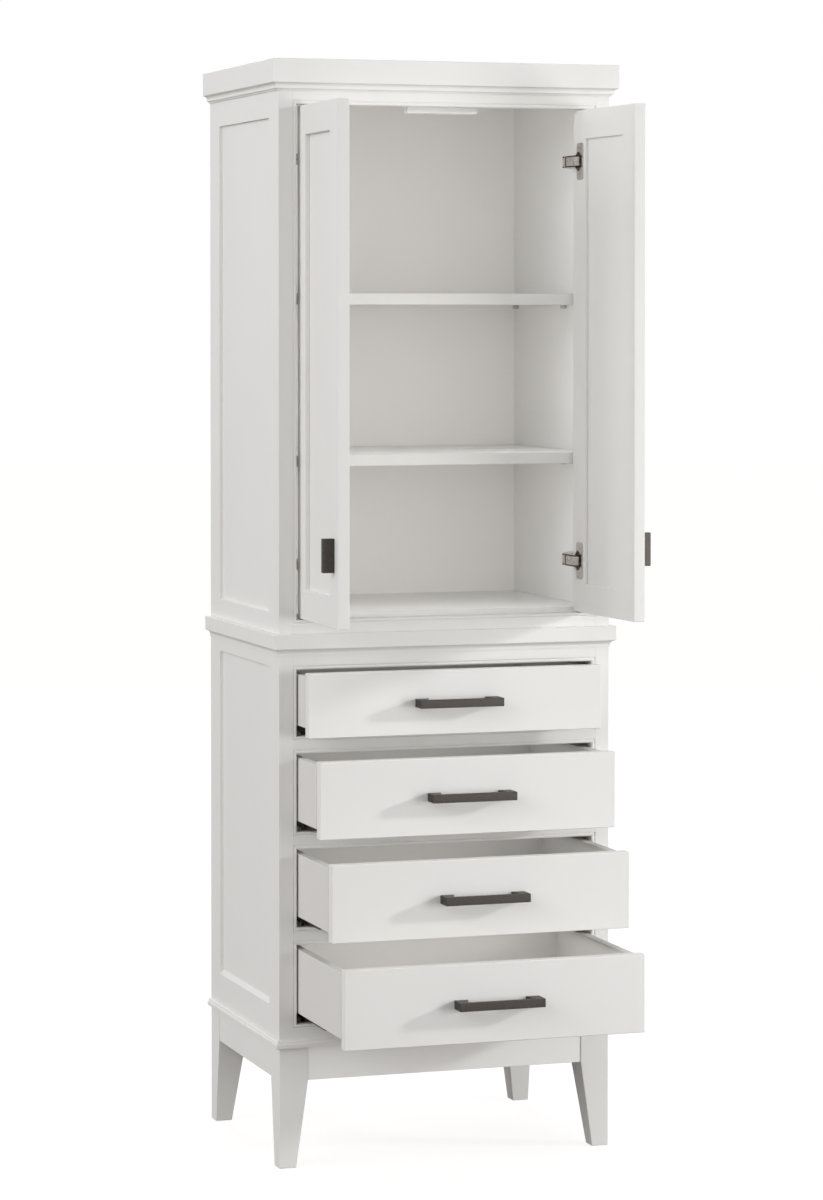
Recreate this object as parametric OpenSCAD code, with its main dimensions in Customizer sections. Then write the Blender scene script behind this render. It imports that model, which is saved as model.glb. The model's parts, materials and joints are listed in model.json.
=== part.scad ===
// Freestanding linen cabinet: a two-door cupboard over four drawers, on tapered legs.
// Millimetres, +Z up, front towards -Y, origin on the floor at the middle of the whole rest pose.

/* [Carcass] */
// width of the body across its sides
body_width = 584; // [544:4:664]
// depth of the body from the face frame to the back
body_depth = 425; // [415:5:480]
// thickness of the framed side walls
wall_thickness = 21; // [20:0.5:23]
// thickness of the top, the bottom and the cupboard floor
board_thickness = 18; // [16:0.5:20]
// thickness of the back panel
back_thickness = 10; // [8:0.5:12]
// how far the side panels lie back from the side frames
panel_recess = 6; // [4:0.5:7]
// width of a side frame's front stile behind the face frame
side_front_stile = 37; // [32:1:50]
// width of a side frame's back stile
side_back_stile = 60; // [50:1:70]
// height of a side frame's top rail
side_top_rail = 77; // [66:1:90]
// height of a side frame's bottom rail
side_bottom_rail = 64; // [50:1:76]
// height of a side frame's middle rail
side_waist_rail = 90; // [80:1:110]
// drop of the side frames' middle rail below the cupboard floor's top
side_waist_drop = 88.5; // [80:0.5:100]
// rise of the sloped sill under the lower side panels
side_low_sill = 7.5; // [4:0.5:9]
// rise of the sloped sill under the upper side panels
side_up_sill = 2.5; // [1:0.5:4]

/* [Face frame] */
// thickness of the face frame
face_thickness = 21; // [20.5:0.5:24]
// width of a stile with its bead
stile_width = 31; // [29:0.5:36]
// height of the rail over the doors, up to the top board
top_rail_height = 57; // [52:1:70]
// height of the rail between the cupboard and the drawers
waist_rail_height = 83; // [74:1:100]
// height of a rail between two drawers
drawer_rail_height = 29; // [24:1:36]
// height of the rail under the lowest drawer
bottom_rail_height = 38; // [34:1:50]
// width of the half-round bead round each opening
bead_width = 5.6; // [4.4:0.2:6.4]
// width of the quirk beside the bead
quirk_width = 1.4; // [1:0.1:1.8]
// depth of the quirk
quirk_depth = 1.5; // [1:0.1:2]

/* [Openings] */
// height of the cupboard opening
cupboard_height = 852; // [800:4:900]
// height of the top drawer's opening
opening_1 = 110; // [100:2:130]
// height of the second drawer's opening
opening_2 = 130; // [100:2:150]
// height of the third drawer's opening
opening_3 = 130; // [100:2:150]
// height of the lowest drawer's opening
opening_4 = 132; // [100:2:150]

/* [Mouldings] */
// how far the cornice stands out from the body
cornice_overhang = 13; // [12.5:0.5:18]
// height of the cornice's plain band
cornice_band = 40; // [34:1:48]
// radius of the cornice's large cove
cornice_cove = 6; // [5:0.5:7]
// height of the step between the cornice's coves
cornice_step = 3; // [2:0.5:4]
// radius of the cornice's small cove
cornice_small_cove = 3; // [2:0.5:3.5]
// how far the waist moulding stands out from the body
waist_overhang = 10; // [9:0.5:14]
// height of the waist moulding's plain band
waist_band = 25; // [20:1:28]
// radius of the waist moulding's cove
waist_cove = 8; // [6:0.5:8]
// height of the fillet under the waist moulding's cove
waist_fillet = 3; // [2:0.5:4]
// rise of the waist moulding above the waist rail's lower edge
waist_rise = 24; // [18:1:26]
// how far the base moulding's lower band stands out
base_overhang = 7; // [6:0.5:10]
// height of the base moulding's lower band
base_band = 6.6; // [5:0.2:8]
// how far the base moulding's upper band stands out
base_upper_overhang = 5; // [4.5:0.1:5.5]
// height of the base moulding's upper band
base_upper_band = 6.4; // [5:0.2:8]

/* [Base] */
// height of the aprons above the floor
leg_height = 145; // [120:5:170]
// height of the aprons
apron_height = 56; // [46:2:64]
// width of a leg at its top
leg_width = 50; // [44:1:56]
// width of a leg at the floor
foot_width = 29.4; // [26:0.2:36]
// thickness of the aprons
apron_thickness = 20; // [16:1:24]
// how far the aprons lie back from the legs' outer faces
apron_setback = 1.5; // [0.5:0.5:4]

/* [Shelves] */
// thickness of the shelves
shelf_thickness = 19; // [16:0.5:20]
// height of the upper shelf above the cupboard floor
upper_shelf_height = 513.5; // [470:0.5:560]
// height of the lower shelf above the cupboard floor
lower_shelf_height = 244; // [200:1:280]
// setback of the shelves behind the cupboard floor's edge
shelf_setback = 0.2; // [0:0.1:8]
// play at each end of a shelf
shelf_play = 1.5; // [0.5:0.5:2.5]
// diameter of the shelf pins' shanks
pin_shank = 5; // [4:0.5:6]
// diameter of the shelf pins' heads
pin_head = 8; // [7:0.5:10]
// length of the shelf pins' heads
pin_reach = 9; // [8:0.5:12]
// setback of the front pins behind the shelf's front edge
front_pin_setback = 126; // [60:2:140]
// distance of the back pins from the shelf's back edge
back_pin_setback = 18; // [14:1:30]

/* [Doors] */
// thickness of the doors
door_thickness = 19.5; // [19:0.5:20]
// width of a door's stiles
door_stile = 51; // [50:1:60]
// height of a door's rails
door_rail = 49; // [44:1:60]
// depth of the panel's recess on the outside
door_recess = 7.6; // [6:0.2:8]
// thickness of the door panels
door_panel_thickness = 6; // [5:0.5:6.5]
// gap along a door's sides
door_side_gap = 3; // [2.5:0.1:3.5]
// gap above and below a door
door_end_gap = 2; // [1.5:0.5:3]
// width of the strip that stops both doors
stop_width = 124; // [80:4:160]
// depth of the stop strip
stop_depth = 18; // [14:1:24]
// height of the stop strip
stop_height = 30; // [24:1:36]
// how far the stop strip shows below the top rail
stop_drop = 10; // [8:1:12]

/* [Hinges] */
// distance of the hinge line from the door's edge
pivot_inset = 12; // [11.6:0.1:12.6]
// distance of the hinge line behind the door's face
pivot_setback = 8; // [7.6:0.1:8.2]
// height of the upper hinges above the cupboard opening's lower edge
upper_hinge_height = 764; // [700:2:780]
// height of the lower hinges above the cupboard opening's lower edge
lower_hinge_height = 89; // [80:1:110]
// radius of the hinge cups
cup_radius = 17.5; // [17:0.1:17.5]
// depth of the hinge cups
cup_depth = 12; // [11:0.1:12.6]
// distance of the cup's centre from the door's edge
cup_setback = 24; // [23.5:0.1:25]
// height of the hinge cups' flange plates
flange_height = 62; // [58:1:66]
// width of the flange plates
flange_width = 26; // [24:0.5:27]
// thickness of the flange plates
flange_thickness = 1.5; // [1:0.1:1.5]
// height of the hinge bodies
hinge_height = 18.5; // [16:0.5:20]
// how far the hinge bodies stand out from the door's inner face
hinge_projection = 12; // [10:0.5:12]
// length of an arm along the wall
arm_length = 50; // [44:1:60]

/* [Drawers] */
// thickness of the drawer fronts
front_thickness = 19.5; // [18:0.5:20]
// gap beside a drawer front
front_side_gap = 3.5; // [2:0.5:4]
// gap above and below a drawer front
front_end_gap = 1.5; // [1:0.5:2.5]
// width of a drawer box's side pieces
box_wall = 15; // [12:0.5:16]
// room behind a closed drawer box
box_back_gap = 25.5; // [16:0.5:40]
// gap between a drawer box and the side of its opening
box_side_gap = 2.5; // [2:0.5:4]
// drop of a box's top below the front's top
box_top_drop = 6; // [4:1:10]
// rise of a box's underside above the front's lower edge
box_rise = 16; // [16:0.5:20]
// thickness of a drawer's bottom
bottom_thickness = 6; // [5:0.5:8]
// rise of a drawer's bottom above the box's underside
bottom_rise = 8; // [6:1:12]

/* [Runners] */
// room behind the fixed runner members
runner_back_gap = 19; // [10:1:36]
// how much shorter a drawer's own runner members are than its box
drawer_member_inset = 10; // [6:1:24]
// how much shorter the middle runner members are than the drawer's own
middle_member_inset = 20; // [16:1:40]
// width of a runner
runner_width = 20; // [18:0.5:24]
// thickness of the runners' steel
runner_steel = 1.5; // [1.2:0.1:1.8]
// gap between a runner and the drawer box's side piece
runner_gap = 1.5; // [1:0.5:3]
// how far the runners' brackets reach below the opening's lower edge
bracket_drop = 15; // [8:1:15]
// depth of the brackets behind the face frame
bracket_depth = 20; // [14:1:30]

/* [Pulls] */
// length of the drawers' bar pulls
bar_length = 146; // [128:2:170]
// height of the bar pulls
bar_height = 14; // [12:0.5:16]
// thickness of the bar
bar_thickness = 8; // [7:0.5:10]
// how far every bar pull stands out
bar_projection = 31; // [27:1:34]
// length of a bar pull's foot where it meets the bar
foot_length = 16; // [12:1:20]
// how much longer the foot is where it meets the drawer
foot_flare = 8; // [4:1:12]
// height of the doors' tab pulls
tab_height = 55; // [46:1:64]
// width of the tab pulls
tab_width = 11; // [9:0.5:13]
// how far the tab pulls stand out
tab_projection = 20; // [16:1:24]
// distance of a tab pull from the door's free edge
tab_setback = 25; // [20:1:32]
// height of the tab pulls' lower ends above the door's lower edge
tab_rise = 90; // [80:2:120]

/* [Rest pose] */
// angle that both doors stand open
door_open = 92.2; // [60:0.2:108]
// how far the top drawer stands out
drawer_open_1 = 55; // [0:1:290]
// how far the second drawer stands out
drawer_open_2 = 119; // [0:1:290]
// how far the third drawer stands out
drawer_open_3 = 184; // [0:1:290]
// how far the lowest drawer stands out
drawer_open_4 = 254; // [0:1:290]

/* [Hidden] */
$fn = 48;
margin = 1;
tongue = 7.5;
groove_end_play = 0.5;
groove = tongue + groove_end_play;
side_tongue_thickness = 6;
side_tongue_inset = 3;
back_lap = 10.5;
back_lap_play = 0.5;
edge_round = 1.5;
cornice_lip = 1;
waist_lip = 0.5;
small_cove_inset = 0.5;
base_round = 4;
cup_wall = 1.2;
cup_play = 0.1;
cup_floor = 1.5;
link_height = 13;
link_reach = 7.5;
link_wall_play = 1.5;
link_stile_play = 1;
body_lead = 6;
hinge_body_reach = 34;
flange_corner = 5;
plate_thickness = 2;
plate_height = 40;
plate_margin = 6;
arm_clearance = 0.8;
arm_head = 24.5;
arm_neck = 19;
door_swing_play = 0.6;
shelf_back_gap = 2;
arm_foot_depth = 12;
pin_flat = 1.5;
pin_hole_play = 0.05;
pin_shank_length = 8;
runner_play = 0.5;
runner_lip = 3.5;
runner_floor_gap = 2;
channel_gap = 1;
member_start = 1.5;
middle_start = 4.5;

half_width = body_width / 2;
half_opening = half_width - stile_width;
half_inside = half_width - wall_thickness;
bead_band = bead_width + quirk_width;
bead_radius = bead_width / 2;

base_z = leg_height + apron_height;
drawer_z_4 = base_z + bottom_rail_height;
drawer_z_3 = drawer_z_4 + opening_4 + drawer_rail_height;
drawer_z_2 = drawer_z_3 + opening_3 + drawer_rail_height;
drawer_z_1 = drawer_z_2 + opening_2 + drawer_rail_height;
waist_z = drawer_z_1 + opening_1;
cupboard_z = waist_z + waist_rail_height;
cupboard_top = cupboard_z + cupboard_height;
case_top = cupboard_top + top_rail_height;
case_height = case_top - base_z;
top_z = case_top + board_thickness;
floor_rise = 8.5;
floor_top = cupboard_z + floor_rise;

cornice_height = cornice_band + cornice_cove + cornice_step + cornice_small_cove;
waist_height = waist_band + waist_cove + waist_fillet;

door_width = half_opening - door_side_gap * 1.5;
door_height = cupboard_height - 2 * door_end_gap;
door_z = cupboard_z + door_end_gap;
door_inner = door_thickness - pivot_setback;
door_tip = door_width - pivot_inset;
pivot_x = half_opening - door_side_gap - pivot_inset;
pull_reach = max([drawer_open_1, drawer_open_2, drawer_open_3, drawer_open_4]) + bar_projection;
tip_reach = door_tip * sin(door_open) - pivot_setback * cos(door_open) - pivot_setback;
tip_reach_inner = door_tip * sin(door_open) + door_inner * cos(door_open) - pivot_setback;
front_reach = max(pull_reach, tip_reach, tip_reach_inner);
back_y = (body_depth + front_reach) / 2;
front_y = back_y - body_depth;
frame_back = front_y + face_thickness;
back_inner = back_y - back_thickness;
pivot_y = front_y + pivot_setback;

wall_from_pivot = pivot_x - half_inside;
sweep_radius = max(norm([wall_from_pivot + link_wall_play, door_inner + link_reach]),
    norm([hinge_body_reach - pivot_inset, door_inner + hinge_projection]));
floor_y = max(pivot_y + norm([pivot_inset, door_inner]) + door_swing_play, frame_back + margin);
hinge_z = [cupboard_z + lower_hinge_height, cupboard_z + upper_hinge_height];

side_y = front_y + face_thickness + side_front_stile;
side_depth = back_y - side_back_stile - side_y;
side_low_z = base_z + side_bottom_rail;
side_waist_z = floor_top - side_waist_drop;
side_up_z = side_waist_z + side_waist_rail;
side_up_height = case_top - side_top_rail - side_up_z;
side_low_height = side_waist_z - side_low_z;

shelf_y = floor_y + shelf_setback;
shelf_depth = back_inner - shelf_back_gap - shelf_y;
shelf_levels = [floor_top + lower_shelf_height, floor_top + upper_shelf_height];
pin_ys = [shelf_y + front_pin_setback, shelf_y + shelf_depth - back_pin_setback];

front_width = 2 * half_opening - 2 * front_side_gap;
box_width = 2 * half_opening - 2 * box_side_gap;
box_length = back_inner - front_y - front_thickness - box_back_gap;
box_bottom = front_end_gap + box_rise;
box_inner_y = front_y + front_thickness + box_wall;
runner_length = back_inner - frame_back - runner_back_gap;
drawer_member_length = box_length - box_wall - drawer_member_inset;
middle_member_length = drawer_member_length - middle_member_inset;
runner_x = half_opening - box_side_gap - box_wall - runner_gap;
runner_top = box_bottom + bottom_rise;
channel_height = (runner_top - runner_floor_gap - channel_gap) / 2;
upper_channel = runner_top - channel_height;

white = "#E6E5E3";
grey_white = "#D6D5D2";
bronze = "#3D3734";
nickel = "#B9B7B2";
steel = "#3E4042";

// Helpers

module both_sides() {
    children();
    mirror([1, 0, 0]) children();
}

// a band [out, up] with its two outer edges rounded
module band(out, up, round) {
    square([out - round, up]);
    translate([0, round]) square([out, up - 2 * round]);
    translate([out - round, round]) circle(round);
    translate([out - round, up - round]) circle(round);
}

// a moulding that runs round the front and both sides, mitred at the corners, from a profile [out, up]
module wrapped_moulding(z, height, out) {
    difference() {
        intersection() {
            translate([0, back_y, z]) rotate([90, 0, 0]) linear_extrude(body_depth + 2 * out) {
                translate([half_width, 0]) children();
                mirror([1, 0]) translate([half_width, 0]) children();
                translate([-half_width - margin / 2, 0]) square([body_width + margin, height]);
            }
            translate([-half_width - 2 * out, front_y, z]) rotate([90, 0, 90])
                linear_extrude(body_width + 4 * out) {
                    mirror([1, 0]) children();
                    translate([-margin / 2, 0]) square([body_depth + margin / 2, height]);
                }
        }
        translate([-half_width, front_y, z - margin])
            cube([body_width, body_depth + margin, height + 2 * margin]);
    }
}

// the wood taken away beside a bead, as [depth, distance from the opening]
module bead_waste() {
    difference() {
        union() {
            translate([-margin, -margin]) square([bead_radius + margin, bead_radius + margin]);
            translate([-margin, bead_radius - margin / 2])
                square([quirk_depth + margin, bead_band - bead_radius + margin / 2]);
        }
        translate([bead_radius, bead_radius]) circle(bead_radius);
    }
}

module bead_on_lower_edge(z) {
    translate([-half_width, front_y, z]) rotate([90, 0, 90]) linear_extrude(body_width) bead_waste();
}

module bead_on_upper_edge(z) {
    translate([-half_width, front_y, z]) mirror([0, 0, 1]) rotate([90, 0, 90])
        linear_extrude(body_width) bead_waste();
}

// the outline of a rail, whose ends are mitred across the beads; low and high tell which edges have one
module rail_outline(z0, z1, low, high) {
    inner = half_opening;
    outer = half_opening + bead_band;
    lower = low ? bead_band : 0;
    upper = high ? bead_band : 0;
    polygon([[-outer + lower, z0], [outer - lower, z0], [outer, z0 + lower], [outer, z1 - upper],
        [outer - upper, z1], [-outer + upper, z1], [-outer, z1 - upper], [-outer, z0 + lower]]);
}

module rail_block(z0, z1, low, high, extra = 0) {
    translate([0, frame_back + extra, 0]) rotate([90, 0, 0]) linear_extrude(face_thickness + 2 * extra)
        rail_outline(z0, z1, low, high);
}

module drawer_rail(z) {
    difference() {
        rail_block(z - drawer_rail_height, z, true, true);
        bead_on_lower_edge(z - drawer_rail_height);
        bead_on_upper_edge(z);
    }
}

// Carcass, in the left-hand form

// the window keeps a sill that slopes up from the outer face to the panel
module side_window(z, height, sill) {
    difference() {
        translate([-half_width - margin, side_y, z])
            cube([wall_thickness + 2 * margin, side_depth, height]);
        translate([-half_width, side_y + side_depth, z]) rotate([90, 0, 0]) linear_extrude(side_depth)
            polygon([[0, 0], [panel_recess, 0], [panel_recess, sill]]);
    }
    translate([-half_width + panel_recess + side_tongue_inset, side_y - groove, z - groove])
        cube([side_tongue_thickness, side_depth + 2 * groove, height + 2 * groove]);
}

module pin_holes() {
    for (z = shelf_levels, y = pin_ys)
        translate([-half_inside - pin_shank_length, y, z - pin_head / 2 + pin_flat])
            rotate([0, 90, 0]) cylinder(r = pin_shank / 2 + pin_hole_play, h = pin_shank_length + margin);
}

module side_frame() {
    color(white) difference() {
        translate([-half_width, frame_back, base_z])
            cube([wall_thickness, body_depth - face_thickness, case_height]);
        side_window(side_up_z, side_up_height, side_up_sill);
        side_window(side_low_z, side_low_height, side_low_sill);
        translate([-half_inside - back_lap - back_lap_play, back_inner, base_z - margin])
            cube([back_lap + back_lap_play + margin, back_thickness + margin, case_height + 2 * margin]);
        pin_holes();
    }
}

module side_panel(z, height) {
    translate([-half_width + panel_recess, side_y, z])
        cube([wall_thickness - panel_recess, side_depth, height]);
    translate([-half_width + panel_recess + side_tongue_inset, side_y - tongue, z - tongue])
        cube([side_tongue_thickness, side_depth + 2 * tongue, height + 2 * tongue]);
}

module side_panels() {
    color(white) difference() {
        union() {
            side_panel(side_up_z, side_up_height);
            side_panel(side_low_z, side_low_height);
        }
        pin_holes();
    }
}

module left_side_frame() side_frame();

module right_side_frame() mirror([1, 0, 0]) side_frame();

module left_side_panels() side_panels();

module right_side_panels() mirror([1, 0, 0]) side_panels();

module back_panel() {
    color(grey_white) translate([-half_inside - back_lap, back_inner, base_z])
        cube([2 * (half_inside + back_lap), back_thickness, case_height]);
}

module top_board() {
    color(white) translate([-half_width, front_y, case_top]) cube([body_width, body_depth, board_thickness]);
}

module inner_board(z) {
    color(white) translate([-half_inside, frame_back, z])
        cube([2 * half_inside, back_inner - frame_back, board_thickness]);
}

// its front edge is rebated above the opening's lower edge, clear of the turning doors
module cupboard_floor() {
    difference() {
        inner_board(floor_top - board_thickness);
        translate([-half_width, frame_back - margin, cupboard_z])
            cube([body_width, floor_y - frame_back + margin, board_thickness]);
    }
}

module case_bottom() inner_board(base_z);

// Face frame

module left_stile() {
    color(white) difference() {
        translate([-half_width, front_y, base_z]) cube([stile_width, face_thickness, case_height]);
        rail_block(cupboard_top, case_top + margin, true, false, margin);
        rail_block(waist_z, cupboard_z, true, true, margin);
        for (z = [drawer_z_3, drawer_z_2, drawer_z_1])
            rail_block(z - drawer_rail_height, z, true, true, margin);
        rail_block(base_z - margin, drawer_z_4, false, true, margin);
        translate([-half_opening, front_y, base_z]) rotate([0, 0, 90])
            linear_extrude(case_height) bead_waste();
    }
}

module right_stile() mirror([1, 0, 0]) left_stile();

module top_rail() {
    color(white) difference() {
        rail_block(cupboard_top, case_top, true, false);
        bead_on_lower_edge(cupboard_top);
    }
}

module waist_rail() {
    color(white) difference() {
        rail_block(waist_z, cupboard_z, true, true);
        bead_on_lower_edge(waist_z);
        bead_on_upper_edge(cupboard_z);
    }
}

module drawer_rails() {
    color(white) for (z = [drawer_z_3, drawer_z_2, drawer_z_1]) drawer_rail(z);
}

module bottom_rail() {
    color(white) difference() {
        rail_block(base_z, drawer_z_4, false, true);
        bead_on_upper_edge(drawer_z_4);
    }
}

// Mouldings

module cornice_profile() {
    small_top = cornice_overhang - cornice_lip - cornice_cove - small_cove_inset;
    translate([0, cornice_height - cornice_band]) band(cornice_overhang, cornice_band, edge_round);
    difference() {
        translate([0, cornice_small_cove + cornice_step])
            square([cornice_overhang - cornice_lip, cornice_cove + margin / 2]);
        translate([cornice_overhang - cornice_lip, cornice_small_cove + cornice_step]) circle(cornice_cove);
    }
    translate([0, cornice_small_cove])
        square([cornice_overhang - cornice_lip - cornice_cove, cornice_step]);
    difference() {
        square([small_top, cornice_small_cove]);
        translate([small_top, 0]) circle(cornice_small_cove);
    }
}

module cornice() {
    color(white) wrapped_moulding(top_z - cornice_height, cornice_height, cornice_overhang) cornice_profile();
}

module waist_profile() {
    translate([0, waist_fillet + waist_cove]) band(waist_overhang, waist_band, edge_round);
    difference() {
        translate([0, waist_fillet]) square([waist_overhang - waist_lip, waist_cove + margin / 2]);
        translate([waist_overhang - waist_lip, waist_fillet]) circle(waist_cove);
    }
    square([waist_overhang - waist_lip - waist_cove, waist_fillet]);
}

module waist_moulding() {
    color(white) wrapped_moulding(waist_z + waist_rise, waist_height, waist_overhang) waist_profile();
}

module base_profile() {
    top = base_band + base_upper_band;
    square([base_overhang, base_band]);
    square([base_upper_overhang - base_round, top]);
    square([base_upper_overhang, top - base_round]);
    translate([base_upper_overhang - base_round, top - base_round]) circle(base_round);
}

module base_moulding() {
    color(white) wrapped_moulding(base_z, base_band + base_upper_band, base_overhang) base_profile();
}

// Base

// the wedge that tapers a leg's inner face, in its own plane
module taper_wedge() {
    rise = leg_width - foot_width;
    run = leg_height;
    translate([0, leg_width + margin, 0]) rotate([90, 0, 0]) linear_extrude(leg_width + 2 * margin)
        polygon([[foot_width - rise * margin / run, -margin], [leg_width + margin, -margin],
            [leg_width + margin, run], [leg_width, run]]);
}

// a leg with its outer corner at the origin and its inner faces towards +X and +Y
module leg() {
    difference() {
        cube([leg_width, leg_width, base_z]);
        taper_wedge();
        mirror([1, -1, 0]) taper_wedge();
    }
}

module front_legs() {
    color(white) both_sides() translate([-half_width, front_y, 0]) leg();
}

module back_legs() {
    color(white) both_sides() translate([-half_width, back_y, 0]) mirror([0, 1, 0]) leg();
}

module aprons() {
    span_x = body_width - 2 * leg_width;
    span_y = body_depth - 2 * leg_width;
    color(white) {
        for (y = [front_y + apron_setback, back_y - apron_setback - apron_thickness])
            translate([-span_x / 2, y, leg_height]) cube([span_x, apron_thickness, apron_height]);
        both_sides() translate([-half_width + apron_setback, front_y + leg_width, leg_height])
            cube([apron_thickness, span_y, apron_height]);
    }
}

// Shelves and stop

module shelf(z) {
    color(white) translate([-half_inside + shelf_play, shelf_y, z])
        cube([2 * (half_inside - shelf_play), shelf_depth, shelf_thickness]);
}

module upper_shelf() shelf(shelf_levels[1]);

module lower_shelf() shelf(shelf_levels[0]);

module shelf_pins() {
    color(nickel) both_sides() for (z = shelf_levels, y = pin_ys) difference() {
        translate([-half_inside, y, z - pin_head / 2 + pin_flat]) rotate([0, 90, 0]) {
            cylinder(r = pin_head / 2, h = pin_reach);
            translate([0, 0, -pin_shank_length]) cylinder(r = pin_shank / 2, h = pin_shank_length + margin);
        }
        translate([-half_inside - margin / 4, y - pin_head, z])
            cube([pin_reach + margin, 2 * pin_head, pin_head]);
    }
}

module door_stop() {
    color(white) translate([-stop_width / 2, frame_back, cupboard_top - stop_drop])
        cube([stop_width, stop_depth, stop_height]);
}

// Doors, built closed round the left hinge line and then turned open

module left_door_place() {
    translate([-pivot_x, pivot_y, 0]) rotate([0, 0, -door_open]) children();
}

// a slab of the panel's thickness at its place, so far inside the door's outer edges
module door_slab(side, end) {
    translate([side - pivot_inset, door_recess - pivot_setback, door_z + end])
        cube([door_width - 2 * side, door_panel_thickness, door_height - 2 * end]);
}

module door_frame() {
    color(white) left_door_place() difference() {
        translate([-pivot_inset, -pivot_setback, door_z]) cube([door_width, door_thickness, door_height]);
        translate([door_stile - pivot_inset, -pivot_setback - margin, door_z + door_rail])
            cube([door_width - 2 * door_stile, door_thickness + 2 * margin, door_height - 2 * door_rail]);
        door_slab(door_stile - groove, door_rail - groove);
        for (z = hinge_z) translate([cup_setback - pivot_inset, door_inner + margin, z])
            rotate([90, 0, 0]) cylinder(r = cup_radius + cup_play, h = cup_depth + margin);
    }
}

module door_panel() {
    color(white) left_door_place() door_slab(door_stile - tongue, door_rail - tongue);
}

module door_pull() {
    nose = tab_width / 4;
    color(bronze) left_door_place()
        translate([door_tip - tab_setback - tab_width / 2, -pivot_setback, door_z + tab_rise])
            linear_extrude(tab_height) union() {
                translate([0, -tab_projection + nose]) square([tab_width, tab_projection - nose]);
                translate([nose, -tab_projection]) square([tab_width - 2 * nose, nose + margin]);
                for (x = [nose, tab_width - nose]) translate([x, -tab_projection + nose]) circle(nose);
            }
}

// the flange plate on the door's inner face, with rounded corners
module flange_outline() {
    half_x = flange_width / 2 - flange_corner;
    half_z = flange_height / 2 - flange_corner;
    translate([-flange_width / 2, -half_z]) square([flange_width, 2 * half_z]);
    translate([-half_x, -flange_height / 2]) square([2 * half_x, flange_height]);
    for (x = [-half_x, half_x], z = [-half_z, half_z]) translate([x, z]) circle(flange_corner);
}

module hinge_cup(z) {
    body_start = -pivot_inset - body_lead;
    body_end = hinge_body_reach - pivot_inset;
    body_high = door_inner + hinge_projection;
    flange_x = body_end - body_lead / 2;
    cup_x = cup_setback - pivot_inset;
    body_low = door_inner + link_stile_play + face_thickness - door_thickness;
    translate([0, door_inner, z]) difference() {
        union() {
            translate([cup_x, 0, 0]) rotate([90, 0, 0]) cylinder(r = cup_radius, h = cup_depth - cup_play);
            translate([flange_x, flange_thickness, 0]) rotate([90, 0, 0])
                linear_extrude(flange_thickness) flange_outline();
        }
        translate([cup_x, -cup_depth + cup_play + cup_floor, 0]) rotate([-90, 0, 0])
            cylinder(r = cup_radius - cup_wall, h = cup_depth + 2 * margin);
    }
    translate([cup_x - cup_radius / 2, door_inner - cup_depth + cup_floor, z - hinge_height / 2])
        cube([body_end - cup_x + cup_radius / 2, cup_depth - cup_floor + hinge_projection, hinge_height]);
    translate([body_start, body_low, z - hinge_height / 2])
        cube([body_end - body_start, body_high - body_low, hinge_height]);
    intersection() {
        translate([wall_from_pivot + link_wall_play, body_low, z - link_height / 2])
            cube([body_start - wall_from_pivot + margin, body_high - body_low, link_height]);
        translate([0, 0, z - hinge_height]) cylinder(r = sweep_radius, h = 2 * hinge_height);
    }
}

module hinge_cups() {
    color(nickel) left_door_place() for (z = hinge_z) hinge_cup(z);
}

module hinge_arm(z) {
    plate_y = sweep_radius + plate_margin;
    arm_y = plate_y + plate_margin;
    arm_x = wall_from_pivot + plate_thickness;
    translate([-pivot_x, pivot_y, z]) {
        translate([wall_from_pivot, plate_y, -plate_height / 2])
            cube([plate_thickness, arm_length + 2 * plate_margin, plate_height]);
        translate([0, 0, -hinge_height / 2]) linear_extrude(hinge_height) difference() {
            polygon([[arm_x - plate_thickness / 2, arm_y], [arm_x - plate_thickness / 2, arm_y + arm_length],
                [arm_x + arm_foot_depth, arm_y + arm_length], [arm_neck / 4, arm_y + arm_length / 2],
                [arm_neck, arm_y], [arm_head, arm_head * 0.8], [0, sweep_radius * 0.9]]);
            circle(sweep_radius + arm_clearance);
        }
    }
}

module hinge_arms() {
    color(nickel) both_sides() for (z = hinge_z) hinge_arm(z);
}

module left_door_frame() door_frame();

module left_door_panel() door_panel();

module left_door_pull() door_pull();

module left_hinge_cups() hinge_cups();

module right_door_frame() mirror([1, 0, 0]) door_frame();

module right_door_panel() mirror([1, 0, 0]) door_panel();

module right_door_pull() mirror([1, 0, 0]) door_pull();

module right_hinge_cups() mirror([1, 0, 0]) hinge_cups();

// Drawers: z is the opening's lower edge, opening its height, out how far the drawer stands out

module drawer_front(z, opening, out) {
    color(white) translate([-front_width / 2, front_y - out, z + front_end_gap])
        cube([front_width, front_thickness, opening - 2 * front_end_gap]);
}

// a slab so far inside a drawer box's outline, from the box's own corner
module box_slab(edge, low, thickness) {
    translate([edge, edge, low]) cube([box_width - 2 * edge, box_length - 2 * edge, thickness]);
}

// the box's back piece ends at the bottom's underside, so that the runners pass under it
module drawer_box(z, opening, out) {
    height = opening - 2 * front_end_gap - box_rise - box_top_drop;
    color(grey_white) translate([-box_width / 2, front_y - out + front_thickness, z + box_bottom])
        difference() {
            cube([box_width, box_length, height]);
            box_slab(box_wall, -margin, height + 2 * margin);
            box_slab(box_wall - tongue, bottom_rise, bottom_thickness);
            translate([box_wall, box_length - box_wall - margin, -margin])
                cube([box_width - 2 * box_wall, box_wall + 2 * margin, bottom_rise + margin]);
        }
}

module drawer_bottom(z, out) {
    color(grey_white) translate([-box_width / 2, front_y - out + front_thickness, z + box_bottom])
        box_slab(box_wall - tongue + groove_end_play, bottom_rise, bottom_thickness);
}

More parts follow.
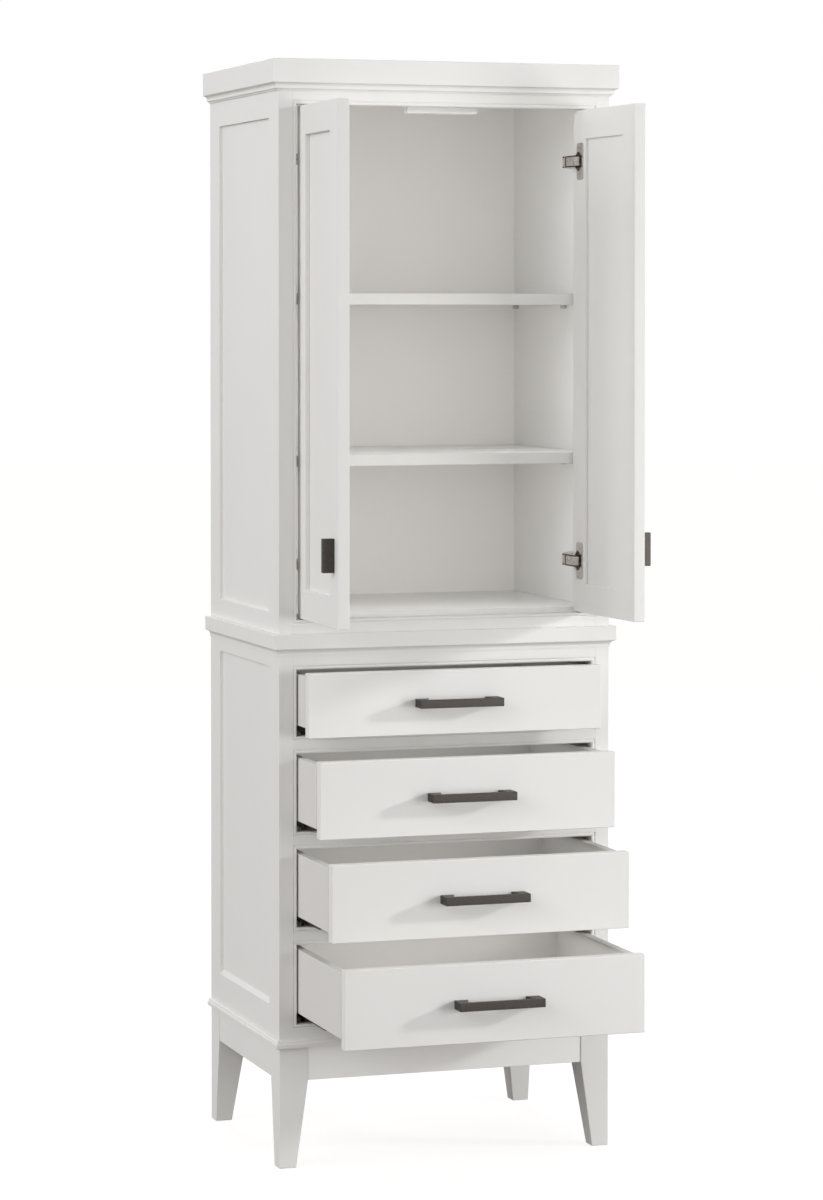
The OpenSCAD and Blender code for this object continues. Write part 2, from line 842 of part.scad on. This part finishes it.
module drawer_pull(z, opening, out) {
    half = bar_length / 2;
    gap = bar_projection - bar_thickness;
    color(bronze) translate([0, front_y - out, z + opening / 2 - bar_height / 2])
        linear_extrude(bar_height) difference() {
            translate([-half, -bar_projection]) square([bar_length, bar_projection]);
            polygon([[-half + foot_length, -gap], [half - foot_length, -gap],
                [half - foot_length - foot_flare, margin], [-half + foot_length + foot_flare, margin]]);
        }
}

// a runner channel as [across, up], open upwards between two lips
module channel() {
    slot = runner_width - 2 * (runner_steel + runner_lip);
    difference() {
        square([runner_width, channel_height]);
        translate([runner_steel, runner_steel])
            square([runner_width - 2 * runner_steel, channel_height - 2 * runner_steel]);
        translate([(runner_width - slot) / 2, runner_steel]) square([slot, channel_height]);
    }
}

module middle_profile() {
    inside = runner_width - 2 * runner_steel;
    slot = inside - 2 * runner_lip;
    flange = channel_height - 2 * runner_steel - 2 * runner_play;
    low = runner_floor_gap + runner_steel + runner_play;
    high = upper_channel + runner_steel + runner_play;
    translate([runner_steel + runner_play, low]) square([inside - 2 * runner_play, flange]);
    translate([runner_steel + runner_play, high]) square([inside - 2 * runner_play, flange]);
    translate([(runner_width - slot) / 2 + runner_play, low])
        square([slot - 2 * runner_play, high + flange - low]);
}

// a length of runner on both sides, from y backwards
module runner(z, y, length) {
    both_sides() translate([-runner_x, y + length, z]) rotate([90, 0, 0]) linear_extrude(length) children();
}

module drawer_slides(z, out) {
    color(steel) runner(z, box_inner_y + member_start - out, drawer_member_length)
        translate([0, runner_top]) mirror([0, 1]) channel();
}

module middle_slides(z, out) {
    color(steel) runner(z, box_inner_y + middle_start - out / 2, middle_member_length)
        middle_profile();
}

module cabinet_slides() {
    color(steel) for (z = [drawer_z_1, drawer_z_2, drawer_z_3, drawer_z_4])
        runner(z, frame_back, runner_length) translate([0, runner_floor_gap]) channel();
}

// a block behind the rail under each fixed member's front end, and one from its back end to the back panel
module slide_brackets() {
    back_block = back_inner - frame_back - runner_length;
    color(steel) for (z = [drawer_z_1, drawer_z_2, drawer_z_3, drawer_z_4])
        both_sides() translate([-runner_x, frame_back, z - bracket_drop]) {
            cube([runner_width, bracket_depth, bracket_drop + runner_floor_gap]);
            translate([0, runner_length, 0])
                cube([runner_width, back_block, bracket_drop + runner_floor_gap + channel_height]);
        }
}

module drawer_1_front() drawer_front(drawer_z_1, opening_1, drawer_open_1);

module drawer_2_front() drawer_front(drawer_z_2, opening_2, drawer_open_2);

module drawer_3_front() drawer_front(drawer_z_3, opening_3, drawer_open_3);

module drawer_4_front() drawer_front(drawer_z_4, opening_4, drawer_open_4);

module drawer_1_box() drawer_box(drawer_z_1, opening_1, drawer_open_1);

module drawer_2_box() drawer_box(drawer_z_2, opening_2, drawer_open_2);

module drawer_3_box() drawer_box(drawer_z_3, opening_3, drawer_open_3);

module drawer_4_box() drawer_box(drawer_z_4, opening_4, drawer_open_4);

module drawer_1_bottom() drawer_bottom(drawer_z_1, drawer_open_1);

module drawer_2_bottom() drawer_bottom(drawer_z_2, drawer_open_2);

module drawer_3_bottom() drawer_bottom(drawer_z_3, drawer_open_3);

module drawer_4_bottom() drawer_bottom(drawer_z_4, drawer_open_4);

module drawer_1_pull() drawer_pull(drawer_z_1, opening_1, drawer_open_1);

module drawer_2_pull() drawer_pull(drawer_z_2, opening_2, drawer_open_2);

module drawer_3_pull() drawer_pull(drawer_z_3, opening_3, drawer_open_3);

module drawer_4_pull() drawer_pull(drawer_z_4, opening_4, drawer_open_4);

module drawer_1_slides() drawer_slides(drawer_z_1, drawer_open_1);

module drawer_2_slides() drawer_slides(drawer_z_2, drawer_open_2);

module drawer_3_slides() drawer_slides(drawer_z_3, drawer_open_3);

module drawer_4_slides() drawer_slides(drawer_z_4, drawer_open_4);

module drawer_1_middle() middle_slides(drawer_z_1, drawer_open_1);

module drawer_2_middle() middle_slides(drawer_z_2, drawer_open_2);

module drawer_3_middle() middle_slides(drawer_z_3, drawer_open_3);

module drawer_4_middle() middle_slides(drawer_z_4, drawer_open_4);

left_side_frame();
right_side_frame();
left_side_panels();
right_side_panels();
back_panel();
top_board();
cupboard_floor();
case_bottom();
left_stile();
right_stile();
top_rail();
waist_rail();
drawer_rails();
bottom_rail();
cornice();
waist_moulding();
base_moulding();
front_legs();
back_legs();
aprons();
upper_shelf();
lower_shelf();
shelf_pins();
door_stop();
hinge_arms();
slide_brackets();
cabinet_slides();
left_door_frame();
left_door_panel();
left_door_pull();
left_hinge_cups();
right_door_frame();
right_door_panel();
right_door_pull();
right_hinge_cups();
drawer_1_front();
drawer_1_box();
drawer_1_bottom();
drawer_1_pull();
drawer_1_slides();
drawer_1_middle();
drawer_2_front();
drawer_2_box();
drawer_2_bottom();
drawer_2_pull();
drawer_2_slides();
drawer_2_middle();
drawer_3_front();
drawer_3_box();
drawer_3_bottom();
drawer_3_pull();
drawer_3_slides();
drawer_3_middle();
drawer_4_front();
drawer_4_box();
drawer_4_bottom();
drawer_4_pull();
drawer_4_slides();
drawer_4_middle();
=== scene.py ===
import json
import math

import bmesh
import bpy
from mathutils import Matrix, Vector


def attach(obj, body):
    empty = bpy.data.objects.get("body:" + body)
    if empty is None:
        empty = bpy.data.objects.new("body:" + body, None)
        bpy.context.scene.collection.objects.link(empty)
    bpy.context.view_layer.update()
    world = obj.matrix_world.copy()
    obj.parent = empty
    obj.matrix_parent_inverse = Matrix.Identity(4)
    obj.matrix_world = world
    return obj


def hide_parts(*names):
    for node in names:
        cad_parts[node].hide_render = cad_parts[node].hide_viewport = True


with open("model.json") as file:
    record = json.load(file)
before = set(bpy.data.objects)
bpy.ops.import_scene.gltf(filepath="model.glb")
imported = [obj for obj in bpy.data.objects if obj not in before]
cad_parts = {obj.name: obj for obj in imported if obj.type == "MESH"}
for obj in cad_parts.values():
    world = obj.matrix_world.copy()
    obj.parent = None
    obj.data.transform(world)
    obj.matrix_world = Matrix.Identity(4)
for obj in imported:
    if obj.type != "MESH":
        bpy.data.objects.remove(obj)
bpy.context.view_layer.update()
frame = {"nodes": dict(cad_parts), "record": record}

# Lengths are in metres, in the cabinet's own frame: the front faces -Y and +X is on the viewer's right.
# Each piece or finish has one dictionary of values to change, beside the code that uses it.

frontY = -0.070  # face of the closed drawers
drawerNumbers = (1, 2, 3, 4)  # from the top down
bodyOf = {node: body for body, nodes in frame["record"]["behaviour"]["bodies"].items() for node in nodes}
joints = {joint["name"]: joint for joint in frame["record"]["behaviour"]["joints"]}


# Materials


def linear(hexColour):
    channels = [int(hexColour[i:i + 2], 16) / 255 for i in (1, 3, 5)]
    return [c / 12.92 if c <= 0.04045 else ((c + 0.055) / 1.055) ** 2.4 for c in channels] + [1]


# a node with its settings; an input is a value, or an output to link to
def addNode(tree, kind, inputs=None, **settings):
    made = tree.nodes.new("ShaderNode" + kind)
    for name, value in settings.items():
        setattr(made, name, value)
    for socket, value in (inputs or {}).items():
        if isinstance(value, bpy.types.NodeSocket):
            tree.links.new(value, made.inputs[socket])
        else:
            made.inputs[socket].default_value = value
    return made


# a new material with its node tree, its shader and its object coordinates
def newMaterial(name):
    material = bpy.data.materials.new(name)
    material.use_nodes = True
    tree = material.node_tree
    return material, tree, tree.nodes["Principled BSDF"], addNode(tree, "TexCoord").outputs["Object"]


# a colour that drifts between two shades over patches of one size
def cloudyColour(tree, coords, size, low, high):
    cloud = addNode(tree, "TexNoise", {"Vector": coords, "Scale": 1 / size, "Detail": 3, "Roughness": 0.55})
    mixed = addNode(tree, "Mix", {0: cloud.outputs["Fac"], 6: linear(low), 7: linear(high)}, data_type="RGBA")
    return mixed.outputs[2]


# a roughness that drifts by so much to either side over patches of one size
def variedRoughness(tree, coords, size, rough, spread):
    cloud = addNode(tree, "TexNoise", {"Vector": coords, "Scale": 1 / size, "Detail": 4, "Roughness": 0.6})
    drift = addNode(tree, "MapRange", {
        "Value": cloud.outputs["Fac"], "From Min": 0.3, "From Max": 0.7,
        "To Min": rough - spread, "To Max": rough + spread})
    return drift.outputs["Result"]


# a fine grain of one size, raised by so much
def fineBump(tree, coords, size, height, strength):
    grain = addNode(tree, "TexNoise", {"Vector": coords, "Scale": 1 / size, "Detail": 2, "Roughness": 0.5})
    bump = addNode(tree, "Bump", {"Height": grain.outputs["Fac"], "Distance": height, "Strength": strength})
    return bump.outputs["Normal"]


paintFilm = {
    "shadePatch": 0.16,      # the shade drifts over about a hand's length
    "glossPatch": 0.02,      # and the gloss over a thumb's width
    "glossSpread": 0.04,
    "peelSize": 0.0015,      # the spray's orange peel, 1.5 mm across
    "peelHeight": 0.00002,
    "peelStrength": 0.5,
}


# Sprayed or rolled paint: even, with its gloss broken up softly by the orange peel.
# The shader's default IOR of 1.5 is that of paint, so it stays.
def paintMaterial(name, low, high, rough):
    film = paintFilm
    material, tree, shader, coords = newMaterial(name)
    colour = cloudyColour(tree, coords, film["shadePatch"], low, high)
    gloss = variedRoughness(tree, coords, film["glossPatch"], rough, film["glossSpread"])
    peel = fineBump(tree, coords, film["peelSize"], film["peelHeight"], film["peelStrength"])
    tree.links.new(colour, shader.inputs["Base Color"])
    tree.links.new(gloss, shader.inputs["Roughness"])
    tree.links.new(peel, shader.inputs["Normal"])
    return material


metalSkin = {
    "glossPatch": 0.006,
    "glossSpread": 0.06,
    "grainSize": 0.001,      # rolled lines or cast grain: finer on the real metal, drawn at 1 mm to show
    "grainStrength": 0.35,
}


# Metal, bare or coated; a stretch over 1 packs its grain closer along that axis
def metalMaterial(name, low, high, rough, stretch=(1, 1, 1), height=0.00001, metallic=1.0, patch=0.02):
    skin = metalSkin
    material, tree, shader, coords = newMaterial(name)
    colour = cloudyColour(tree, coords, patch, low, high)
    gloss = variedRoughness(tree, coords, skin["glossPatch"], rough, skin["glossSpread"])
    stretched = addNode(tree, "Mapping", {"Vector": coords, "Scale": stretch}).outputs["Vector"]
    grain = fineBump(tree, stretched, skin["grainSize"], height, skin["grainStrength"])
    tree.links.new(colour, shader.inputs["Base Color"])
    tree.links.new(gloss, shader.inputs["Roughness"])
    tree.links.new(grain, shader.inputs["Normal"])
    shader.inputs["Metallic"].default_value = metallic
    return material


# case, doors and drawer fronts, sprayed satin lacquer: smooth off-white with wide soft highlights
whitePaint = paintMaterial("satinWhiteLacquer", "#EAE9E7", "#EDECEA", 0.48)
# the back panel, rolled flat paint a shade lighter than the case's: painted light against the cupboard's
# shade, even and without highlights
palePaint = paintMaterial("flatInsidePaintLightened", "#EFEDEA", "#F2F0ED", 0.55)
# the drawers' boards, the same flat paint made a shade greyer as painted shade
drawerPaint = paintMaterial("flatDrawerPaint", "#DDDBD8", "#E0DEDB", 0.55)
# pulls, oil-rubbed cast bronze: dark brown, worn lighter in 3 mm patches, with dull highlights
bronze = metalMaterial("oilRubbedBronze", "#3E3B39", "#595552", 0.46, height=0.00004, patch=0.003)
# hinges and pins, pressed steel with bright nickel plating: pale grey with faint lines across
nickel = metalMaterial("nickelPlatedSteel", "#C4C1BC", "#D0CDC8", 0.28, stretch=(1, 1, 8))
# the hinges' rims, dark grey paint as painted shade for the shadow gaps round the hinge blocks and arms: dark
# and dull
hingeShadePaint = metalMaterial("paintedHingeShade", "#35312F", "#413D3A", 0.5, stretch=(1, 1, 8))
# runners and brackets, their steel coloured dark grey as painted shade for the shadow under the drawers: dark
# grey with a soft sheen along their length
steel = metalMaterial("runnerSteelPaintedShade", "#303234", "#383A3C", 0.45, stretch=(1, 0.15, 1), metallic=0.0)
print("materials made")


# Pieces


# makes a bmesh a piece: smooth but for edges over so many degrees, with its finish, slot and body
def finishPiece(name, work, material, body, sharpAngle=50):
    mesh = bpy.data.meshes.new(name)
    work.to_mesh(mesh)
    work.free()
    mesh.materials.append(material)
    mesh.polygons.foreach_set("use_smooth", [True] * len(mesh.polygons))
    mesh.set_sharp_from_angle(angle=math.radians(sharpAngle))
    piece = bpy.data.objects.new(name, mesh)
    bpy.context.scene.collection.objects.link(piece)
    weighted = piece.modifiers.new("weighted", "WEIGHTED_NORMAL")
    weighted.keep_sharp = True
    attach(piece, body)
    return piece


easing = {
    "mergeDistance": 0.000002,
    "flatAngle": 0.3,        # degrees up to which faces count as one
    "sharpAngle": 32,        # degrees from which an edge is eased
    "segments": 2,
}
easedPieces = {}


# a copy of a CAD node, its loose triangles merged and its sharp edges eased by so much
def easedCopy(node, width, material, body):
    work = bmesh.new()
    work.from_mesh(frame["nodes"][node].data)
    bmesh.ops.remove_doubles(work, verts=work.verts, dist=easing["mergeDistance"])
    flat = math.radians(easing["flatAngle"])
    bmesh.ops.dissolve_limit(work, angle_limit=flat, verts=work.verts, edges=work.edges)
    least = math.radians(easing["sharpAngle"])
    sharp = [e for e in work.edges if len(e.link_faces) == 2 and e.calc_face_angle() > least]
    bmesh.ops.bevel(work, geom=sharp, offset=width, offset_type="OFFSET", segments=easing["segments"],
                    profile=0.5, affect="EDGES", clamp_overlap=True, material=-1)
    name = "".join(word.capitalize() if i else word for i, word in enumerate(node.split("_")))
    piece = finishPiece(f"{name}Eased", work, material, body)
    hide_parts(node)
    easedPieces[node] = piece


# how far the white pieces' edges are eased: least on the beads, most on legs, shelves and drawer fronts
whiteEasing = {
    "left_side_frame": 0.0008, "right_side_frame": 0.0008,
    "left_side_panels": 0.0005, "right_side_panels": 0.0005,
    "top_board": 0.0008, "cupboard_floor": 0.0008,
    "left_stile": 0.00025, "right_stile": 0.00025,
    "top_rail": 0.00025, "waist_rail": 0.00025, "drawer_rails": 0.00025, "bottom_rail": 0.00025,
    "cornice": 0.0004, "waist_moulding": 0.0004, "base_moulding": 0.0005,
    "front_legs": 0.0012, "back_legs": 0.0012, "aprons": 0.0008,
    "upper_shelf": 0.0012, "lower_shelf": 0.0012, "door_stop": 0.001,
    "left_door_frame": 0.001, "right_door_frame": 0.001,
    "left_door_panel": 0.0005, "right_door_panel": 0.0005,
}
drawerEasing = {"front": 0.0014, "box": 0.0012, "pull": 0.0009}
for k in drawerNumbers:
    whiteEasing[f"drawer_{k}_front"] = drawerEasing["front"]
for node, width in whiteEasing.items():
    easedCopy(node, width, whitePaint, bodyOf[node])
print("white pieces eased")

metalEasing = {"doorPull": 0.0008, "hinge": 0.0004, "shelfPin": 0.0003}
for k in drawerNumbers:
    easedCopy(f"drawer_{k}_box", drawerEasing["box"], drawerPaint, f"drawer_{k}")
    easedCopy(f"drawer_{k}_pull", drawerEasing["pull"], bronze, f"drawer_{k}")
for side in ("left", "right"):
    easedCopy(f"{side}_door_pull", metalEasing["doorPull"], bronze, f"{side}_door")
    easedCopy(f"{side}_hinge_cups", metalEasing["hinge"], nickel, f"{side}_door")
easedCopy("hinge_arms", metalEasing["hinge"], nickel, "cabinet")
easedCopy("shelf_pins", metalEasing["shelfPin"], nickel, "cabinet")
print("drawers and metal pieces eased")

# nodes shown as they are, with only their finish given
finishOf = {
    "back_panel": palePaint, "case_bottom": whitePaint,
    "slide_brackets": steel, "cabinet_slides": steel,
}
for k in drawerNumbers:
    finishOf[f"drawer_{k}_bottom"] = drawerPaint
    finishOf[f"drawer_{k}_slides"] = steel
    finishOf[f"drawer_{k}_middle"] = steel
for node, material in finishOf.items():
    shown = frame["nodes"][node]
    shown.data.materials.clear()
    shown.data.materials.append(material)
print("plain pieces finished")

hinge = {
    "heights": (1.000, 1.675),
    "bodyFace": 0.0235,      # the block on the door, measured from its axis: its face,
    "bodyEnd": 0.022,        # its end towards the door's middle
    "bodyHalf": 0.00925,     # and half its height
}
leftAxis = joints["left_door_hinge"]["pos_m"]
doorTurn = math.radians(joints["left_door_hinge"]["range_deg"][0])  # about +Z, from closed to the rest pose


# the left hinge's place at one height, turned with the door or left with the case
def hingePlace(height, turn):
    return Matrix.Translation((leftAxis[0], leftAxis[1], height)) @ Matrix.Rotation(turn, 4, "Z")


# both sides are made on the left, and the right one is mirrored
def finishHingePiece(name, side, work, material, body):
    if side == "right":
        bmesh.ops.scale(work, vec=(-1, 1, 1), verts=work.verts)
    bmesh.ops.recalc_face_normals(work, faces=work.faces)
    finishPiece(f"{side}{name}", work, material, body, 30)


# blocks from corner to corner, as (x, y, z, x, y, z) from the hinge's axis
def hingeBars(name, side, bars, material, turn, body):
    work = bmesh.new()
    for height in hinge["heights"]:
        for x0, y0, z0, x1, y1, z1 in bars:
            middle = Matrix.Translation(((x0 + x1) / 2, (y0 + y1) / 2, (z0 + z1) / 2))
            size = Matrix.Diagonal((x1 - x0, y1 - y0, z1 - z0, 1))
            bmesh.ops.create_cube(work, size=1, matrix=hingePlace(height, turn) @ middle @ size)
    finishHingePiece(name, side, work, material, body)


# the dark strips on the hinge block and the case's arm are painted shade: the shadow gaps along the block's
# top and bottom and a painted shadow band across it
rim = {
    "proud": 0.0003,         # the rims stand this far off the block
    "sunk": 0.0005,          # and reach this far into it
    "width": 0.0018,
    "bandFrom": -0.018,      # a painted shadow band across the block
    "bandTo": -0.0135,
    "palePlay": 0.0001,      # a pale strip beside it, this far off and this much higher
    "paleTo": -0.0075,
    "paleInset": 0.002,
    "footY": 0.0125,         # the rims run down the block's end to here
    "armFrom": (0.019, 0.0266),  # the painted shade rims on the case's arm, as seen from above
    "armTo": (0.0243, 0.030),
}
face, end, half = hinge["bodyFace"], hinge["bodyEnd"], hinge["bodyHalf"]
sunkFace, proudFace = face - rim["sunk"], face + rim["proud"]
rimHeights = ((-half - rim["proud"], -half + rim["width"]), (half - rim["width"], half + rim["proud"]))
hingeShadeBars = [(rim["bandFrom"], sunkFace, -half, rim["bandTo"], proudFace, half)]
armShadeBars = []
for low, high in rimHeights:
    hingeShadeBars.append((rim["bandTo"], sunkFace, low, end, proudFace, high))
    hingeShadeBars.append((end - rim["sunk"], rim["footY"], low, end + rim["proud"], proudFace, high))
    armShadeBars.append((*rim["armFrom"], low, *rim["armTo"], high))
paleBars = [(rim["bandTo"] + rim["palePlay"], sunkFace, -half + rim["paleInset"],
             rim["paleTo"], proudFace + rim["palePlay"], half - rim["paleInset"])]
# painted shade strips in dark grey on each hinge and arm, and the pale nickel strip beside the band
for side in ("left", "right"):
    hingeBars("HingePaintedShade", side, hingeShadeBars, hingeShadePaint, doorTurn, f"{side}_door")
    hingeBars("HingeEdges", side, paleBars, nickel, doorTurn, f"{side}_door")
    hingeBars("ArmPaintedShade", side, armShadeBars, hingeShadePaint, 0, "cabinet")
print("hinge rims made")

screw = {
    "place": (0.019, 0.0131, 0),     # just proud of the flange, from the hinge's axis
    "rise": 0.0225,                  # above and below the hinge's middle
    "radius": 0.0036,
    "segments": 24,
    "armShare": 0.62,                # the cross recess, as shares of the radius: its arms' length,
    "slotShare": 0.14,               # half their width,
    "crownShare": 0.16,              # how high its mouth stands
    "depthShare": 0.35,              # and how deep it goes
    "taper": 0.7,                    # its floor against its mouth
}


# a countersunk screw head with a cross recess, its face towards +Z
def screwHead(work, place):
    before = set(work.verts)
    radius = screw["radius"]
    circle = bmesh.ops.create_circle(work, cap_ends=False, segments=screw["segments"], radius=radius)
    arm, slot = radius * screw["armShare"], radius * screw["slotShare"]
    outline = [(slot, arm), (slot, slot), (arm, slot), (arm, -slot), (slot, -slot), (slot, -arm),
               (-slot, -arm), (-slot, -slot), (-arm, -slot), (-arm, slot), (-slot, slot), (-slot, arm)]
    crown, depth, taper = radius * screw["crownShare"], radius * screw["depthShare"], screw["taper"]
    cross = [work.verts.new((x, y, crown)) for x, y in outline]
    crossEdges = [work.edges.new((cross[i], cross[i - 1])) for i in range(len(cross))]
    ringEdges = list({e for v in circle["verts"] for e in v.link_edges})
    bmesh.ops.bridge_loops(work, edges=crossEdges + ringEdges)
    sunk = [work.verts.new((x * taper, y * taper, -depth)) for x, y in outline]
    for i in range(len(cross)):
        work.faces.new((cross[i], cross[i - 1], sunk[i - 1], sunk[i]))
    work.faces.new(sunk)
    fresh = [v for v in work.verts if v not in before]
    bmesh.ops.transform(work, matrix=place, verts=fresh)


# two screws in each flange, above and below the hinge's middle
def hingeScrews(side):
    work = bmesh.new()
    outward = Matrix.Translation(screw["place"]) @ Matrix.Rotation(-math.pi / 2, 4, "X")
    for height in hinge["heights"]:
        for rise in (-screw["rise"], screw["rise"]):
            screwHead(work, hingePlace(height + rise, doorTurn) @ outward)
    finishHingePiece("HingeScrews", side, work, nickel, f"{side}_door")


for side in ("left", "right"):
    hingeScrews(side)
print("hinge screws made")


# Floor, light and camera

floorLook = {
    "low": "#827C78",
    "high": "#86807C",
    "shadePatch": 0.8,
    "rough": 0.9,
    "glow": 0.84,            # lifts the floor to white where it is seen, and leaves the soft shadow on it
    "mirroredGlow": 0.25,    # the same where something glossy mirrors it
    "halfSize": 30,
}


# matt grey, with a glow that is there only where it is seen or mirrored
def makeFloor():
    look = floorLook
    material, tree, shader, coords = newMaterial("paleFloor")
    colour = cloudyColour(tree, coords, look["shadePatch"], look["low"], look["high"])
    tree.links.new(colour, shader.inputs["Base Color"])
    shader.inputs["Roughness"].default_value = look["rough"]
    ray = addNode(tree, "LightPath").outputs
    mirrored = addNode(tree, "Math", {0: ray["Is Glossy Ray"], 1: look["mirroredGlow"]}, operation="MULTIPLY")
    rays = {0: ray["Is Camera Ray"], 1: ray["Is Transmission Ray"]}
    seen = addNode(tree, "Math", rays, operation="MAXIMUM")
    glows = {0: seen.outputs[0], 1: look["glow"], 2: mirrored.outputs[0]}
    lift = addNode(tree, "Math", glows, operation="MULTIPLY_ADD")
    tree.links.new(lift.outputs[0], shader.inputs["Emission Strength"])
    shader.inputs["Emission Color"].default_value = (1, 1, 1, 1)
    work = bmesh.new()
    bmesh.ops.create_grid(work, x_segments=2, y_segments=2, size=look["halfSize"])
    mesh = bpy.data.meshes.new("floor")
    work.to_mesh(mesh)
    work.free()
    mesh.materials.append(material)
    floor = bpy.data.objects.new("floor", mesh)
    bpy.context.scene.collection.objects.link(floor)


dome = {"horizon": 0.74, "zenith": 0.25}  # strengths of its light


# an even dome that grows dimmer towards the zenith, white where it is seen or mirrored
def makeWorld():
    world = bpy.data.worlds.new("studio")
    bpy.context.scene.world = world
    world.use_nodes = True
    tree = world.node_tree
    tree.nodes.clear()
    ray = addNode(tree, "LightPath").outputs
    seen = addNode(tree, "Math", {0: ray["Is Camera Ray"], 1: ray["Is Glossy Ray"]}, operation="MAXIMUM")
    white = addNode(tree, "Math", {0: seen.outputs[0], 1: ray["Is Transmission Ray"]}, operation="MAXIMUM")
    height = addNode(tree, "SeparateXYZ", {0: addNode(tree, "TexCoord").outputs["Generated"]}).outputs["Z"]
    lit = addNode(tree, "MapRange", {"Value": height, "To Min": dome["horizon"], "To Max": dome["zenith"]})
    shares = {"Value": white.outputs[0], "To Min": lit.outputs["Result"], "To Max": 1.0}
    power = addNode(tree, "MapRange", shares)
    glow = addNode(tree, "Background", {"Color": (1, 1, 1, 1), "Strength": power.outputs["Result"]})
    out = addNode(tree, "OutputWorld")
    tree.links.new(glow.outputs[0], out.inputs[0])


# square lamps: degrees to the right of the front and up, distance from the cabinet's middle, side and watts
lampMiddle = Vector((0, 0, 0.95))
lamps = {
    "keyLight": {"turn": 68, "rise": 14, "reach": 7, "size": 0.5, "power": 208},
    "frontLight": {"turn": 37, "rise": -3, "reach": 4, "size": 1.4, "power": 45},
    "leftLight": {"turn": -85, "rise": 15, "reach": 7, "size": 3.0, "power": 122},
    "highLeftLight": {"turn": -60, "rise": 26, "reach": 7, "size": 3.5, "power": 104},
    "backLight": {"turn": 175, "rise": 25, "reach": 7, "size": 3.0, "power": 90},
}


def softLamp(name, turn, rise, reach, size, power):
    lamp = bpy.data.lights.new(name, "AREA")
    lamp.size = size
    lamp.energy = power
    light = bpy.data.objects.new(name, lamp)
    turn, rise = math.radians(turn), math.radians(rise)
    away = Vector((math.sin(turn) * math.cos(rise), -math.cos(turn) * math.cos(rise), math.sin(rise)))
    light.location = lampMiddle + reach * away
    light.rotation_euler = away.to_track_quat("Z", "Y").to_euler()
    bpy.context.scene.collection.objects.link(light)


inward, downward = math.pi / 2, 0


# an unseen rectangular lamp of even radiance that brightens what the others reach too little;
# receivers, if any, are the only pieces it lights
def fillLamp(name, place, size, glow, turn, receivers=()):
    lamp = bpy.data.lights.new(name, "AREA")
    lamp.shape = "RECTANGLE"
    lamp.size, lamp.size_y = size
    lamp.energy = glow * math.pi * size[0] * size[1]
    light = bpy.data.objects.new(name, lamp)
    light.location = place
    light.rotation_euler = (turn, 0, 0)
    light.visible_camera = light.visible_glossy = light.visible_transmission = False
    if receivers:
        lit = bpy.data.collections.new(name)
        for piece in receivers:
            lit.objects.link(piece)
        light.light_linking.receiver_collection = lit
    bpy.context.scene.collection.objects.link(light)


# fills between the open doors, in the cupboard's three bays, in the drawers and before the aprons
doorFill = {"place": (0, -0.30, 1.337), "size": (0.36, 0.80), "glow": 0.27}
cupboardFill = {
    "width": 0.51,
    "y": -0.0425,            # just behind the shelves' front edges
    "bays": ((0.924, 1.160, 0.80), (1.186, 1.429, 0.78), (1.456, 1.758, 0.69)),  # from, to, glow
}
drawerFill = {
    "size": (0.47, 0.33),
    "back": 0.205,           # behind the drawer's face
    "drawers": {1: (0.817, 0.15), 2: (0.679, 0.35), 3: (0.520, 0.37), 4: (0.361, 0.55)},  # height, glow
}
apronFill = {"place": (0, -0.9, 0.15), "size": (1.2, 0.3), "glow": 0.9}

makeFloor()
makeWorld()
for name, settings in lamps.items():
    softLamp(name, **settings)
fillLamp("doorFill", **doorFill, turn=inward)
for low, high, glow in cupboardFill["bays"]:
    place = (0, cupboardFill["y"], (low + high) / 2)
    fillLamp("cupboardFill", place, (cupboardFill["width"], high - low), glow, inward)
for k, (height, glow) in drawerFill["drawers"].items():
    out = -joints[f"drawer_{k}_slide"]["range_m"][0]  # how far the drawer stands out at rest
    place = (0, frontY - out + drawerFill["back"], height)
    insides = [easedPieces[f"drawer_{k}_box"], frame["nodes"][f"drawer_{k}_bottom"]]
    fillLamp(f"drawer{k}Fill", place, drawerFill["size"], glow, downward, insides)
fillLamp("apronFill", **apronFill, turn=inward, receivers=[easedPieces["aprons"]])
print("floor and lights made")

view = {
    "place": (-2.05935, -6.09197, 1.41564),
    "pitch": -1.5,           # degrees above the horizontal
    "yaw": -18.3556,         # degrees about +Z: it stands on the left and looks to the right
    "sensor": 36,            # mm, as the lens is
    "lens": 114.114,
    "shift": -0.15449,       # lowers the frame and tilts nothing
}
camera = bpy.data.objects.new("camera", bpy.data.cameras.new("camera"))
camera.data.sensor_width = view["sensor"]
camera.data.lens = view["lens"]
camera.data.shift_y = view["shift"]
camera.location = view["place"]
camera.rotation_euler = (math.radians(90 + view["pitch"]), 0, math.radians(view["yaw"]))
bpy.context.scene.collection.objects.link(camera)
bpy.context.scene.camera = camera
bpy.context.scene.view_settings.view_transform = "Standard"
print("camera set")
